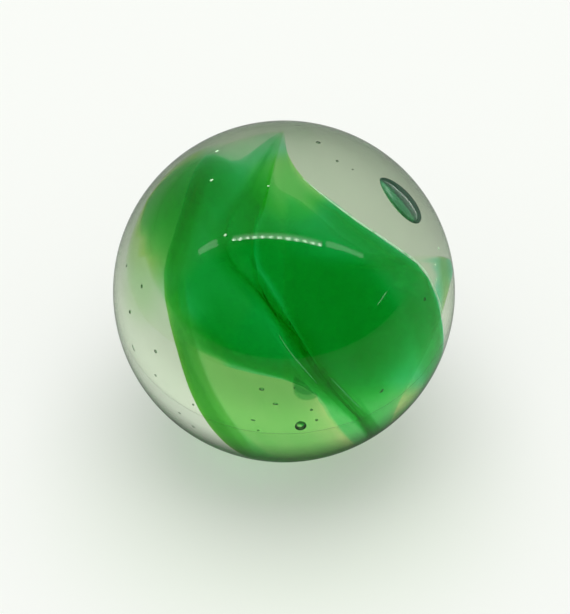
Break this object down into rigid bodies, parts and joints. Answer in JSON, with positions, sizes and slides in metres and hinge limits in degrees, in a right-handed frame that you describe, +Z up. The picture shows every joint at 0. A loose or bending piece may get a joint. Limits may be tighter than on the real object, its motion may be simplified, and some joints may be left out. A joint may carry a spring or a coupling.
{
  "type": "glass marble",
  "caption": "Round clear glass marble with a folded swirl of transparent green glass fused into it and air bubbles under its polished surface, for play, display or use as a smooth rolling ball.",
  "frame": {"origin": "centre of the ball", "axes": "+Z up, -Y to the front; the face of the green swirl looks up and to the front, halfway between the two"},
  "size_m": [0.016, 0.016, 0.016],
  "materials": {
    "clear_glass": "fire-polished, with faint scratches and pits",
    "green_glass": "transparent, fused into the clear glass"
  },
  "bodies": {
    "root": {"clear_glass": "clear_glass", "green_swirl": "green_glass"}
  },
  "joints": []
}
